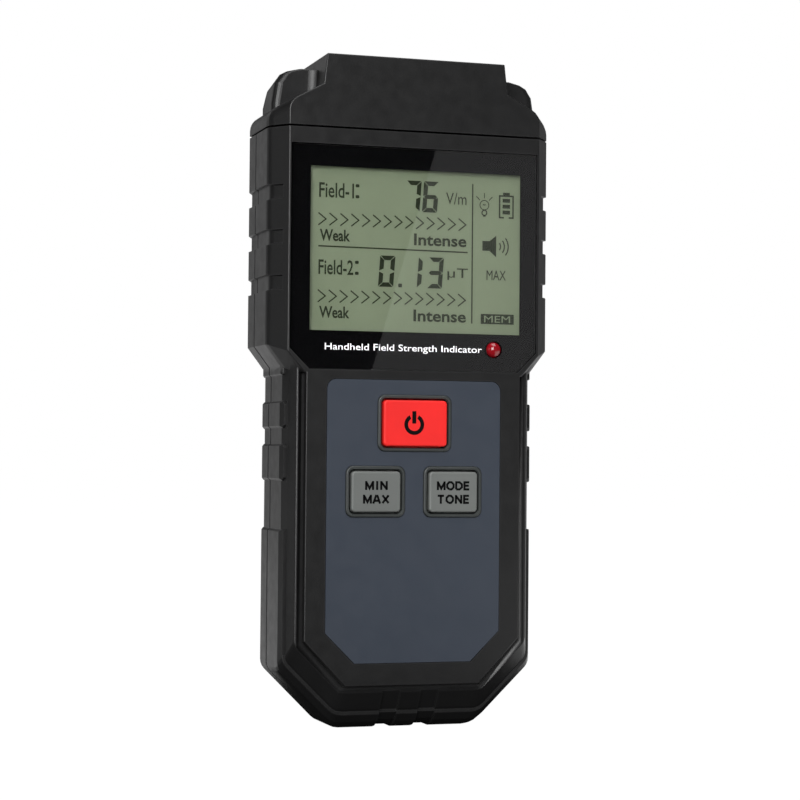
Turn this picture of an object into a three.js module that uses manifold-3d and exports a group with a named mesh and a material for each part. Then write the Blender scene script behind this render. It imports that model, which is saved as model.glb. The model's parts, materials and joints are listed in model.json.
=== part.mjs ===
// Handheld field meter: a moulded two-half case with a sensor cap on its top end, a display
// window, a silicone keypad with three keys, a main board, and three AAA cells behind a
// hinged battery door. Millimetres, +Z up: the meter stands on its bottom end, its front
// faces -Y and +X is to the right of someone looking at the display.
import * as THREE from 'three';
import { ConvexGeometry } from 'three/addons/geometries/ConvexGeometry.js';
import { mergeVertices } from 'three/addons/utils/BufferGeometryUtils.js';
import Module from 'manifold-3d';

const wasm = await Module();
wasm.setup();

// ---------------------------------------------------------------- driving dimensions
const DATUM = 0.95;                // heights are drawn from a line this far below the foot
const TOTAL_HEIGHT = 130;
const DEPTH_HALF = 13;             // the case is 26 deep, from y = -13 to y = 13
const HEAD_HALF = 28.5;            // half width of the upper body, round the display
const GRIP_HALF = 25;              // half width of the lower body, between its pads
const PAD_PROUD = 0.5;             // how far the grip pads and foot pads stand proud
const WALL = 2;
const PARTING_Y = 0.6;             // where the front and rear halves meet
const SEAM_GAP = 0.3;
const BODY_TOP = 115.7;
const CAP_BASE = BODY_TOP + SEAM_GAP;
const NECK_TOP = 74.4;             // the sides step in from the head to the grip here
const NECK_LOW = 69.9;

const WINDOW = { half: 24.75, low: 69.85, high: 112.55, cut: 3.85, thick: 1.0 };
const LCD_VIEW = { x: 0.38, half: 21.2, low: 77.2, high: 108.5 };
const LCD_GLASS = { half: 23.2, low: 76.5, high: 110.2, front: -10.9, back: -8.6 };
const BOARD = { front: -5, back: -3.4, low: 12.5, high: 110.2 };

const OVERLAY = { half: 17.4, low: 14, high: 67.95, cut: 5.8, radius: 1.8, thick: 0.4 };
const KEYS = [
  { name: 'power_key', x: 0, z: 59.7, width: 12.76, height: 8.8, colour: 0xff2a2a },
  { name: 'average_key', x: -7.75, z: 46.6, width: 9.75, height: 7.75, colour: 0x73766f },
  { name: 'hold_key', x: 7.75, z: 46.6, width: 9.75, height: 7.75, colour: 0x73766f },
];
const KEY_TOP = -13.75;
const BEZEL_TOP = -13.4;
const BEZEL_BAND = 0.75;
const PLATE_BACK = -10.2;          // the inner face of the wall that the keys come through
const KEY_GAP = 0.27;
const LED = { x: 16.1, z: 74.2, radius: 1.5 };

const CELL = { radius: 5.25, length: 44.5, low: 16.9, y: 6.2, pitch: 10.9 };
const BAY = { half: 16.7, low: 14.2, high: 64.2, floor: 0.6 };
const DOOR = { half: 17.85, low: 14.35, high: 65.85, inner: 11.65, gap: 0.15 };
const SCREWS = [[-20.5, 112.9], [20.5, 112.9], [-8, 8.2], [8, 8.2]];

// ---------------------------------------------------------------- materials
const plain = (colour, roughness, metalness = 0) =>
  new THREE.MeshStandardMaterial({ color: colour, roughness, metalness });
const casePlastic = plain(0x2a2a2a, 0.6);
const bezelPlastic = plain(0x464b4b, 0.55);
const overlayFilm = plain(0x424852, 0.6);
const silicone = plain(0x5a5d5c, 0.8);
const clearAcrylic = new THREE.MeshStandardMaterial(
  { color: 0xffffff, roughness: 0.05, transparent: true, opacity: 0.3 });
const blackInk = plain(0x050505, 0.5);
const lcdGlass = plain(0x8a9a7c, 0.2);
const diffuser = plain(0xe8e8e0, 0.5);
const whitePlastic = plain(0xd8d8d2, 0.6);
const boardGreen = plain(0x1c5c34, 0.5);
const chipBlack = plain(0x18181a, 0.6);
const carbon = plain(0x101010, 0.9);
const steel = plain(0xc8ccd0, 0.3, 1);
const copper = plain(0xb87333, 0.4, 1);
const ferrite = plain(0x38363a, 0.8);
const ledRed = plain(0xb01822, 0.15);
const cellWrap = plain(0x2f6f8f, 0.35);

// ---------------------------------------------------------------- shape helpers
function toSolid(geometry) {
  const bare = geometry.clone();
  bare.deleteAttribute('normal');
  bare.deleteAttribute('uv');
  const merged = mergeVertices(bare, 1e-4);
  const vertProperties = new Float32Array(merged.attributes.position.array);
  const triVerts = new Uint32Array(merged.index.array);
  return new wasm.Manifold(new wasm.Mesh({ numProp: 3, vertProperties, triVerts }));
}

function toGeometry(solid) {
  const mesh = solid.getMesh();
  const geometry = new THREE.BufferGeometry();
  geometry.setAttribute('position', new THREE.BufferAttribute(mesh.vertProperties, 3));
  geometry.setIndex(new THREE.BufferAttribute(mesh.triVerts, 1));
  return geometry;
}

const joined = (solids) => solids.reduce((sum, solid) => sum.add(solid));
const cutBy = (solid, cutters) => solid.subtract(joined(cutters));

function box(x0, x1, y0, y1, z0, z1) {
  const geometry = new THREE.BoxGeometry(x1 - x0, y1 - y0, z1 - z0);
  return toSolid(geometry.translate((x0 + x1) / 2, (y0 + y1) / 2, (z0 + z1) / 2));
}

// A cylinder between two values of one axis, centred on the two other coordinates.
function rod(axis, radius, low, high, [a, b], sides = 16) {
  const geometry = new THREE.CylinderGeometry(radius, radius, high - low, sides);
  const middle = (low + high) / 2;
  if (axis === 'x') return toSolid(geometry.rotateZ(Math.PI / 2).translate(middle, a, b));
  if (axis === 'y') return toSolid(geometry.translate(a, middle, b));
  return toSolid(geometry.rotateX(Math.PI / 2).translate(a, b, middle));
}

// Turns a profile of [radius, height] pairs about an axis through (x, z) along +Y or (x, y)
// along +Z, starting from the given base.
function turned(axis, profile, base, [a, b], sides = 24) {
  const geometry = new THREE.LatheGeometry(
    profile.map(([radius, height]) => new THREE.Vector2(radius, height)), sides);
  if (axis === 'y') return toSolid(geometry.translate(a, base, b));
  return toSolid(geometry.rotateX(Math.PI / 2).translate(a, b, base));
}

// Extrudes a shape drawn in the XZ plane from y0 to y1.
function slab(shape, y0, y1, curveSegments = 3) {
  const geometry = new THREE.ExtrudeGeometry(
    shape, { depth: y1 - y0, bevelEnabled: false, curveSegments });
  return toSolid(geometry.rotateX(Math.PI / 2).translate(0, y1, 0));
}

const polygon = (points) => new THREE.Shape(points.map(([x, z]) => new THREE.Vector2(x, z)));

function roundedRectangle(x, z, width, height, radius) {
  const [a, b] = [x - width / 2, z - height / 2];
  const [c, d] = [x + width / 2, z + height / 2];
  const shape = new THREE.Shape();
  shape.moveTo(a + radius, b).lineTo(c - radius, b);
  shape.absarc(c - radius, b + radius, radius, -Math.PI / 2, 0);
  shape.lineTo(c, d - radius).absarc(c - radius, d - radius, radius, 0, Math.PI / 2);
  shape.lineTo(a + radius, d).absarc(a + radius, d - radius, radius, Math.PI / 2, Math.PI);
  shape.lineTo(a, b + radius).absarc(a + radius, b + radius, radius, Math.PI, 1.5 * Math.PI);
  return shape;
}

// One level of a hull: corners of a half outline at depth y, mirrored to both sides.
const level = (y, corners) => corners.flatMap(
  ([x, z]) => [new THREE.Vector3(x, y, z), new THREE.Vector3(-x, y, z)]);
const hull = (levels) => toSolid(new ConvexGeometry(levels.flat()));

const parts = new THREE.Group();
function place(name, solid, material) {
  const mesh = new THREE.Mesh(toGeometry(solid.translate([0, 0, -DATUM])), material);
  mesh.name = name;
  parts.add(mesh);
}

// ---------------------------------------------------------------- case outline
// The case with every face moved inwards by inset; a negative inset moves them outwards.
function headBlock(inset, top) {
  const corners = (shift) => [
    [HEAD_HALF - shift, top],
    [HEAD_HALF - shift, NECK_TOP + 0.4 * shift],
    [GRIP_HALF + 0.1 - 0.9 * shift, NECK_LOW + 0.3 * shift],
  ];
  const front = 0.44 * inset;
  const frontCorners = [
    [HEAD_HALF - 3.3 - front, top],
    [HEAD_HALF - 3.3 - front, NECK_TOP - 1.3 + front],
    [GRIP_HALF - 3.3 - front, NECK_LOW - 0.9 + front],
  ];
  const rearCorners = [
    [HEAD_HALF - 5 - inset / 2, top],
    [HEAD_HALF - 5 - inset / 2, NECK_TOP - 2],
    [GRIP_HALF - 5 - inset / 2, NECK_LOW - 1.4],
  ];
  return hull([
    level(-DEPTH_HALF + inset, frontCorners),
    level(-9 + 0.4 * inset, corners(inset)),
    level(6 - 0.3 * inset, corners(inset)),
    level(DEPTH_HALF - inset, rearCorners),
  ]);
}

function gripBlock(inset) {
  const top = NECK_LOW + 2;
  const corners = (half, sideLow, footHalf, foot, shift) => [
    [half - shift, top],
    [half - shift, sideLow + 0.41 * shift],
    [footHalf - 0.41 * shift, foot + shift],
  ];
  return hull([
    level(-12.2 + inset, corners(GRIP_HALF - 1.8, 17.6, 13.9, 8.6, 0.45 * inset)),
    level(-10 + 0.7 * inset, corners(GRIP_HALF - 0.8, 14.7, 14.5, 5, 0.75 * inset)),
    level(-8 + 0.4 * inset, corners(GRIP_HALF, 13.1, 14.5, 2.75, inset)),
    level(-6.4 + 0.3 * inset, corners(GRIP_HALF, 12.7, 14.1, 1.8, inset)),
    level(-5 + 0.2 * inset, corners(GRIP_HALF, 12.6, 13.9, DATUM + PAD_PROUD, inset)),
    level(5.5 - 0.3 * inset, corners(GRIP_HALF, 12.6, 13.9, DATUM + PAD_PROUD, inset)),
    level(DEPTH_HALF - inset, corners(GRIP_HALF - 5, 14.5, 11, 5.5, 0.5 * inset)),
  ]);
}

const caseBody = (inset, top = BODY_TOP) => headBlock(inset, top).add(gripBlock(inset));

// The keypad stands on a plate, raised above the bevels of the lower body.
function keypadPlate() {
  const corners = (grow) => [
    [21.5 + grow, NECK_LOW + 1], [21.5 + grow, 18.35 - grow], [13.35 + grow, 9.65 - grow]];
  return hull([level(-DEPTH_HALF, corners(0)), level(-11.9, corners(0.25))]);
}

const mirrored = (solid) => solid.add(solid.scale([-1, 1, 1]));

// Two pads and a collar on each side, and a bumper that runs down both sides and under the foot.
function gripPads() {
  const skin = caseBody(-PAD_PROUD).subtract(caseBody(0.2));
  const sides = [[58.5, 63.8], [48.5, 55.6]].map(
    ([low, high]) => mirrored(box(22, 30, -9.7, 9, low, high).intersect(skin)));
  const collar = gripBlock(-PAD_PROUD * 0.8).subtract(gripBlock(0.2))
    .intersect(box(22, 30, -9, 8, 68.6, 70.5));
  const footGaps = mirrored(box(2.1, 5.6, -20, 20, -1, 8.4));
  const bumper = box(-30, 30, -9.7, 9, -1, 39.3).intersect(skin).subtract(footGaps);
  return [...sides, mirrored(collar), bumper];
}

// Three shallow finger notches on each side of the head.
function headNotches() {
  const skin = caseBody(-1).subtract(caseBody(0.5));
  return [86.15, 94.8, 103.4].map(
    (z) => mirrored(box(26, 31, -11.6, 9, z - 1.1, z + 1.1).intersect(skin)));
}

// The bumper's two gaps run on up the front of the foot as grooves.
const footGrooves = () => mirrored(box(2.1, 5.6, -14, -9.6, -1, 8.4)
  .intersect(caseBody(-1).subtract(caseBody(0.4))));

const notches = headNotches();
const outerCase = cutBy(joined([caseBody(0), keypadPlate(), ...gripPads()]),
  [...notches, footGrooves()]);
const hollowCase = outerCase.subtract(caseBody(WALL, BODY_TOP - 1.8));

// ---------------------------------------------------------------- sensor cap sizes
const CAP = { half: 17.8, shoulderHalf: 18.6, shoulder: 124.2, blockHalf: 26.4, block: 128.1 };
const SPIGOT = { half: 16.6, front: -7.7, back: 8.7, low: 112.3, wall: 1.4 };
const spigotHole = () => box(-SPIGOT.half - 0.2, SPIGOT.half + 0.2,
  SPIGOT.front - 0.2, SPIGOT.back + 0.2, SPIGOT.low - 1, BODY_TOP + 1);

// ---------------------------------------------------------------- front shell
function windowShape(grow) {
  const { half, low, high, cut } = WINDOW;
  return polygon([[-half - grow, high + grow], [-half - grow, low + cut], [-half + cut, low - grow],
    [half - cut, low - grow], [half + grow, low + cut], [half + grow, high + grow]].reverse());
}

function overlayShape(grow) {
  const { half, low, high, cut, radius } = OVERLAY;
  const side = half + grow;
  const shape = new THREE.Shape();
  shape.moveTo(-side + cut, low - grow).lineTo(side - cut, low - grow).lineTo(side, low + cut);
  shape.lineTo(side, high + grow - radius);
  shape.absarc(side - radius, high + grow - radius, radius, 0, Math.PI / 2);
  shape.lineTo(-side + radius, high + grow);
  shape.absarc(-side + radius, high + grow - radius, radius, Math.PI / 2, Math.PI);
  shape.lineTo(-side, low + cut);
  return shape;
}

const bezelSize = (key, extra = 0) => [key.width + 2 * (KEY_GAP + BEZEL_BAND) + extra,
  key.height + 2 * (KEY_GAP + BEZEL_BAND) + extra];
const keyShape = (key, grow, radius) =>
  roundedRectangle(key.x, key.z, key.width + 2 * grow, key.height + 2 * grow, radius);
const bezelShape = (key, extra = 0) => roundedRectangle(key.x, key.z, ...bezelSize(key, extra), 1.5);

function frontShell() {
  const half = hollowCase.intersect(box(-40, 40, -20, PARTING_Y - SEAM_GAP / 2, -5, 200));
  const bosses = SCREWS.map(([x, z]) => rod('y', 2.4, -11.5, PARTING_Y - 0.3, [x, z]));
  const windowSeat = -DEPTH_HALF + WINDOW.thick + 0.2;
  const cuts = [
    slab(windowShape(0.1), -14, windowSeat),
    box(-22, 22, -14, -10, LCD_VIEW.low - 0.6, LCD_VIEW.high + 0.9),
    rod('y', LED.radius + 0.2, -14, -10, [LED.x, LED.z]),
    slab(overlayShape(0.1), -14, -DEPTH_HALF + OVERLAY.thick + 0.05),
    ...KEYS.map((key) => slab(bezelShape(key, 0.1), -14, PLATE_BACK + 0.5)),
    ...SCREWS.map(([x, z]) => rod('y', 1.2, -7, 2, [x, z], 10)),
    spigotHole(),
  ];
  place('front_shell', cutBy(joined([half, ...bosses]), cuts), casePlastic);
}

// ---------------------------------------------------------------- rear shell and door
function rearShell() {
  const half = hollowCase.intersect(box(-40, 40, PARTING_Y + SEAM_GAP / 2, 20, -5, 200));
  const top = BODY_TOP - 1.8;
  const lip = caseBody(WALL - 0.1, top).subtract(caseBody(WALL + 0.8, top))
    .intersect(box(-40, 40, PARTING_Y + SEAM_GAP / 2, 3, -5, top - 0.1));
  const tongue = caseBody(WALL + 0.1, top).subtract(caseBody(WALL + 0.8, top))
    .intersect(box(-40, 40, PARTING_Y - 1.5, 3, -5, top - 0.1));
  const bayWall = 1.4;
  const bay = box(-BAY.half - bayWall, BAY.half + bayWall, BAY.floor - 1.2, 12,
    BAY.low - bayWall, BAY.high + bayWall);
  const bosses = SCREWS.map(([x, z]) => rod('y', 3.3, PARTING_Y + 0.2, 12, [x, z])
    .intersect(caseBody(0.5)));
  const opening = DOOR.half + DOOR.gap;
  const hookSlots = [-11, 11].map((x) => box(x - 2.7, x + 2.7, 10, 12.15, 12.6, DOOR.low + 0.4));
  const thumbNotch = rod('y', 6, 12, 14, [0, DOOR.high + 1.5], 24);
  const soundSlots = [-3, 0, 3].map((shift) => box(-17.5, -10.5, 10, 14, 91.5 + shift, 92.5 + shift));
  const cuts = [
    box(-BAY.half, BAY.half, BAY.floor, 14, BAY.low, BAY.high),
    box(-opening, opening, DOOR.inner - 0.1, 14, DOOR.low - DOOR.gap, DOOR.high + DOOR.gap),
    ...hookSlots, thumbNotch, ...soundSlots,
    ...SCREWS.map(([x, z]) => rod('y', 1.25, -3, 14, [x, z], 10)),
    ...SCREWS.map(([x, z]) => rod('y', 2.3, 9, 14, [x, z])),
    spigotHole(),
    ...[-1, 0, 1].flatMap((row) => contactSlots(row)),
  ];
  place('rear_shell', cutBy(joined([half, lip, tongue, bay, ...bosses]), cuts), casePlastic);
}

// Slots in the bay's front floor where the contact tabs reach the board.
const contactSlots = (row) => [
  box(row * CELL.pitch - 1.7, row * CELL.pitch + 1.7, -1, 1, BAY.low, BAY.low + 0.6),
  box(row * CELL.pitch - 1.7, row * CELL.pitch + 1.7, -1, 1, BAY.high - 0.6, BAY.high),
];

// The door turns about its lower outer edge; two hooks under that edge hold it in the shell.
function batteryDoor() {
  const panel = box(-DOOR.half, DOOR.half, DOOR.inner, DEPTH_HALF, DOOR.low, DOOR.high);
  const hooks = [-11, 11].map((x) => joined([
    box(x - 2.2, x + 2.2, 10.9, DOOR.inner + 0.1, DOOR.low + 0.2, DOOR.low + 1.2),
    box(x - 2.2, x + 2.2, 10.9, 11.6, DOOR.low - 1.1, DOOR.low + 1.2),
  ]));
  const tongueSlots = [-6.4, 5.6].map((x) => box(x, x + 0.8, 11, 14, DOOR.high - 9, DOOR.high + 1));
  const thumbGrooves = [0, 1, 2, 3, 4].map((row) => box(-4.2, 4.2, 12.6, 14,
    DOOR.high - 7.4 + 1.4 * row, DOOR.high - 6.8 + 1.4 * row));
  place('battery_door', cutBy(joined([panel, ...hooks]), [...tongueSlots, ...thumbGrooves]),
    casePlastic);
}

function caseScrews() {
  SCREWS.forEach(([x, z], index) => {
    const profile = [[0, 0], [0.8, 0], [1.1, 1], [1.1, 13.9], [2.1, 13.9], [2.1, 15], [1.7, 15.5],
      [0, 15.5]];
    const cross = [box(x - 1.3, x + 1.3, 9.6, 11, z - 0.25, z + 0.25),
      box(x - 0.25, x + 0.25, 9.6, 11, z - 1.3, z + 1.3)];
    place(`case_screw_${index + 1}`,
      cutBy(turned('y', profile, -4.8, [x, z], 12), cross), steel);
  });
}

// ---------------------------------------------------------------- sensor cap
function sensorCap() {
  const sideCorners = [[HEAD_HALF, CAP_BASE], [HEAD_HALF, 118], [HEAD_HALF - 0.8, 119.3],
    [CAP.shoulderHalf, CAP.shoulder]];
  const shoulders = hull([
    level(-DEPTH_HALF, [[HEAD_HALF - 3.3, CAP_BASE], [HEAD_HALF - 3.3, 120.7],
      [CAP.shoulderHalf, CAP.shoulder]]),
    level(-9, sideCorners), level(6, sideCorners),
    level(DEPTH_HALF, [[HEAD_HALF - 5, CAP_BASE], [HEAD_HALF - 5, 118.2],
      [CAP.shoulderHalf - 2, 121.5]]),
  ]);
  const nose = hull([
    level(-DEPTH_HALF, [[CAP.half, TOTAL_HEIGHT - 0.4], [CAP.shoulderHalf, CAP.shoulder],
      [CAP.shoulderHalf, 119]]),
    level(-DEPTH_HALF + 0.6, [[CAP.half - 0.3, TOTAL_HEIGHT], [CAP.half, TOTAL_HEIGHT - 0.4]]),
    level(9, [[CAP.half - 0.3, TOTAL_HEIGHT], [CAP.half, TOTAL_HEIGHT - 0.4],
      [CAP.shoulderHalf, 119]]),
    level(12, [[CAP.half - 2, 126], [CAP.shoulderHalf - 2, 119]]),
  ]);
  const blockSide = [[CAP.blockHalf - 3, CAP.block], [CAP.blockHalf - 0.6, 125.3],
    [CAP.blockHalf, 119]];
  const block = hull([
    level(-6, [[CAP.blockHalf - 4, CAP.block - 0.2], [CAP.blockHalf - 2.2, 125.4],
      [CAP.blockHalf - 1.6, 119]]),
    level(-4.4, blockSide), level(7, blockSide),
    level(DEPTH_HALF, [[CAP.blockHalf - 5, 125.5], [CAP.blockHalf - 4, 119]]),
  ]);
  const hollows = [
    hull([
      level(-11.2, [[24, 117.4], [24, 119.4], [17.5, 122.4]]),
      level(-8, [[26.6, 117.4], [26.6, 117.8], [17.5, 122.4]]),
      level(5, [[26.6, 117.4], [26.6, 117.8], [17.5, 122.4]]),
      level(10.8, [[21.5, 117.4], [21.5, 117.8], [16, 119.5]]),
    ]),
    box(-16, 16, -11.2, 8, 117.4, 128.2),
    box(-22.8, 22.8, -4.2, 7.5, 117.4, 124.6),
  ];
  const { half, front, back, low, wall } = SPIGOT;
  const spigot = box(-half, half, front, back, low, CAP_BASE + 0.1);
  const throat = box(-half + wall, half - wall, front + wall, back - wall, low - 1, 118);
  place('sensor_cap', cutBy(joined([shoulders, nose, block, spigot]), [...hollows, throat]),
    casePlastic);
}

function capSensors() {
  place('sensor_board', box(-14, 14, -3.35, -2.35, 106, 127), boardGreen);
  place('ferrite_core', rod('x', 2, -13, 13, [2.2, 121], 20), ferrite);
  const coil = rod('x', 3.9, -8, 8, [2.2, 121], 20).subtract(rod('x', 2.1, -9, 9, [2.2, 121], 20));
  const flanges = [-8.5, 8].map((x) => rod('x', 4.4, x, x + 0.5, [2.2, 121], 20)
    .subtract(rod('x', 2.1, -9, 9, [2.2, 121], 20)));
  place('pickup_coil', joined([coil, ...flanges]), copper);
  place('electric_field_plate', box(-15, 15, -8.2, -7.8, 118.2, 127.4), copper);
  [-9, 9].forEach((x, index) => place(`plate_lead_${index + 1}`,
    rod('y', 0.35, -7.78, -3.38, [x, 124], 10), steel));
}

// ---------------------------------------------------------------- display stack
function displayStack() {
  const back = -DEPTH_HALF + WINDOW.thick;
  const pane = slab(windowShape(0), -DEPTH_HALF, back);
  const ledHole = rod('y', LED.radius + 0.12, -14, -10, [LED.x, LED.z], 20);
  place('display_window', pane.subtract(ledHole), clearAcrylic);
  const mask = slab(windowShape(-0.1), back + 0.02, back + 0.17);
  const view = box(LCD_VIEW.x - LCD_VIEW.half, LCD_VIEW.x + LCD_VIEW.half, -14, -10,
    LCD_VIEW.low, LCD_VIEW.high);
  place('window_mask', cutBy(mask, [view, ledHole]), blackInk);
  const { half, low, high, front, back: rear } = LCD_GLASS;
  place('lcd_glass', box(-half, half, front, rear, low, high), lcdGlass);
  place('lcd_backlight', box(-21.4, 21.4, -8.5, -6.2, 80.6, 108.6), diffuser);
  const frame = box(-half, half, -8.55, BOARD.front - 0.05, 79.2, high);
  place('lcd_frame', cutBy(frame, [box(-21.5, 21.5, -9, -6.1, 80.5, 108.7),
    box(-19.5, 19.5, -7, -4, 82.5, 106.7)]), whitePlastic);
  place('contact_strip', box(-20, 20, -8.55, BOARD.front - 0.05, 76.8, 78.8), silicone);
}

function indicatorLed() {
  const { x, z, radius } = LED;
  const dome = Array.from({ length: 4 }, (_, step) => {
    const angle = (step / 4) * (Math.PI / 2);
    return [radius * Math.cos(angle), 4 + radius * Math.sin(angle)];
  });
  const profile = [[0, 0], [1.95, 0], [1.95, 0.7], [radius, 0.7], ...dome, [0, 4 + radius]]
    .map(([r, height]) => [r, -height]).reverse();
  place('led_body', turned('y', profile, -8.4, [x, z], 16), ledRed);
  [-1.27 / 2, 1.27 / 2].forEach((shift, index) => place(`led_lead_${index + 1}`,
    box(x + shift - 0.25, x + shift + 0.25, -8.37, BOARD.front - 0.03, z - 0.25, z + 0.25), steel));
}

// ---------------------------------------------------------------- keypad
function keypadOverlay() {
  const sheet = slab(overlayShape(0), -DEPTH_HALF - 0.02, -DEPTH_HALF + OVERLAY.thick);
  place('keypad_overlay', cutBy(sheet, KEYS.map((key) => slab(bezelShape(key, 0.1), -14, -10))),
    overlayFilm);
}

const stemSize = (key, extra = 0) => [key.width - 3 + extra, key.height - 2.6 + extra];

function keyBezel(key) {
  const collar = slab(bezelShape(key), BEZEL_TOP, PLATE_BACK + 0.1);
  const flange = slab(bezelShape(key, 1), PLATE_BACK + 0.05, PLATE_BACK + 0.55);
  place(`${key.name}_bezel`, joined([collar, flange])
    .subtract(slab(keyShape(key, KEY_GAP, 0.8), -15, -8)), bezelPlastic);
}

function keyCap(key) {
  const crown = slab(keyShape(key, -0.35, 0.5), KEY_TOP, -12);
  const stopFront = PLATE_BACK + 0.65;
  const cap = slab(keyShape(key, 0, 0.7), KEY_TOP + 0.3, stopFront + 0.1);
  const stop = slab(keyShape(key, 0.9, 0.9), stopFront, stopFront + 0.8);
  const stem = slab(roundedRectangle(key.x, key.z, ...stemSize(key), 1), stopFront + 0.7, -6.9);
  place(key.name, joined([crown, cap, stop, stem]), plain(key.colour, 0.6));
  place(`${key.name}_pill`, rod('y', 1.8, -6.88, -6.3, [key.x, key.z], 12), carbon);
}

const rectangleLevel = (key, y, [width, height]) => [[-1, -1], [1, -1], [1, 1], [-1, 1]].map(
  ([a, b]) => new THREE.Vector3(key.x + a * width / 2, y, key.z + b * height / 2));

// The thin skirt that joins a key to the mat and buckles when the key goes down.
function keyWeb(key) {
  const top = -7.9;
  const base = -6.25;
  const skin = 0.45;
  const frustum = (drop) => hull([rectangleLevel(key, top + drop, stemSize(key, 0.9)),
    rectangleLevel(key, base + drop, stemSize(key, 3))]);
  const stemHole = slab(roundedRectangle(key.x, key.z, ...stemSize(key, 0.1), 1), -10, -4);
  place(`${key.name}_web`, frustum(0).subtract(frustum(skin)).subtract(stemHole), silicone);
}

function keypadMat() {
  const sheet = slab(roundedRectangle(0, 53.2, 33, 30, 2), -6.2, BOARD.front - 0.05);
  const holes = KEYS.map((key) => slab(
    roundedRectangle(key.x, key.z, ...stemSize(key, 2), 1), -8, -4));
  place('keypad_mat', cutBy(sheet, holes), silicone);
}

// ---------------------------------------------------------------- main board
function mainBoard() {
  const { front, back, low, high } = BOARD;
  const outline = polygon([[-17, low], [17, low], [22, 17.5], [22, 72], [25.2, 77], [25.2, high],
    [-25.2, high], [-25.2, 77], [-22, 72], [-22, 17.5]]);
  place('main_board', slab(outline, front, back), boardGreen);
  const rear = back + 0.05;
  const chip = (name, x, z, width, height, thick) => place(name,
    box(x - width / 2, x + width / 2, rear, rear + thick, z - height / 2, z + height / 2),
    chipBlack);
  chip('controller_chip', 6, 88, 10, 10, 1.4);
  chip('amplifier_chip', 4, 101, 5, 6, 1.5);
  chip('regulator_chip', 18, 72, 3, 4.5, 1.1);
  place('clock_crystal', box(13, 16, rear, rear + 3.2, 93, 101), steel);
  const buzzer = turned('y', [[0, 0], [6, 0], [6, 5.5], [1, 5.5], [1, 3], [0, 3]], rear,
    [-14, 92], 20);
  place('buzzer', buzzer, chipBlack);
  place('storage_capacitor', turned('y', [[0, 0], [2.5, 0], [2.5, 6.6], [2.2, 7], [0, 7]], rear,
    [-2, 78], 14), plain(0x23304f, 0.4));
}

// ---------------------------------------------------------------- cells and contacts
function cell(name, x, up) {
  const body = CELL.length - 0.9;
  const r = CELL.radius;
  const profile = [[0, 0], [3, 0], [3, 0.25], [r - 0.35, 0.25], [r, 0.6], [r, body - 0.35],
    [r - 0.35, body], [1.9, body], [1.9, CELL.length], [0, CELL.length]];
  const turnedOver = profile.map(([radius, height]) => [radius, CELL.length - height]).reverse();
  place(name, turned('z', up ? profile : turnedOver, CELL.low, [x, CELL.y], 20), cellWrap);
}

class ConeHelix extends THREE.Curve {
  constructor(x, low, high) {
    super();
    Object.assign(this, { x, low, high });
  }
  getPoint(t, target = new THREE.Vector3()) {
    const angle = t * 2.25 * 2 * Math.PI;
    const radius = 3.4 - 1.3 * t;
    return target.set(this.x + radius * Math.cos(angle), CELL.y + radius * Math.sin(angle),
      this.low + (this.high - this.low) * t);
  }
}

function wireRing(radius, sides) {
  const points = Array.from({ length: sides }, (_, index) => new THREE.Vector2(
    radius * Math.cos((2 * Math.PI * index) / sides), radius * Math.sin((2 * Math.PI * index) / sides)));
  return new THREE.Shape(points);
}

function spring(name, x, fixedEnd, freeEnd) {
  const towards = Math.sign(freeEnd - fixedEnd);
  const wire = 0.28;
  const path = new ConeHelix(x, fixedEnd + towards * (0.5 + wire), freeEnd - towards * (wire + 0.05));
  const coil = toSolid(new THREE.ExtrudeGeometry(wireRing(wire, 5),
    { extrudePath: path, steps: 27, bevelEnabled: false }));
  const [a, b] = [fixedEnd, fixedEnd + towards * 0.55].sort((p, q) => p - q);
  const plate = box(x - 4.2, x + 4.2, 1.2, 10.6, a, b);
  const tab = box(x - 1.5, x + 1.5, -2.6, 1.3, a, b);
  place(name, joined([coil, plate, tab]), steel);
}

function contactPlate(name, x, fixedEnd, freeEnd) {
  const [a, b] = [fixedEnd, fixedEnd + Math.sign(freeEnd - fixedEnd) * 0.4].sort((p, q) => p - q);
  const [c, d] = [fixedEnd, freeEnd].sort((p, q) => p - q);
  place(name, joined([box(x - 4.2, x + 4.2, 1.2, 10.6, a, b),
    box(x - 1.5, x + 1.5, -2.6, 1.3, a, b),
    rod('z', 1.6, c, d, [x, CELL.y], 16)]), steel);
}

function batteryBay() {
  [-1, 0, 1].forEach((row, index) => {
    const x = row * CELL.pitch;
    const up = row !== 0;
    cell(`battery_${index + 1}`, x, up);
    const bottom = [BAY.low + 0.03, CELL.low - 0.05];
    const top = [BAY.high - 0.03, CELL.low + CELL.length + 0.05];
    const [springEnds, plateEnds] = up ? [bottom, top] : [top, bottom];
    spring(`battery_spring_${index + 1}`, x, ...springEnds);
    contactPlate(`battery_plate_${index + 1}`, x, ...plateEnds);
  });
}

// ---------------------------------------------------------------- assembly
frontShell();
rearShell();
sensorCap();
batteryDoor();
caseScrews();
displayStack();
indicatorLed();
keypadOverlay();
KEYS.forEach((key) => {
  keyBezel(key);
  keyCap(key);
  keyWeb(key);
});
keypadMat();
mainBoard();
capSensors();
batteryBay();

export default parts;
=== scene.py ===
"""Looks of a handheld field meter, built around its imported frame.

Shapes are worked out in millimetres and turned into metres when a piece is finished. The
axes are the frame's: +X to the right, -Y out of the display, +Z up.
"""
import itertools
import json
import math

import bmesh
import bpy
import numpy as np
from mathutils import Matrix, Vector


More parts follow.
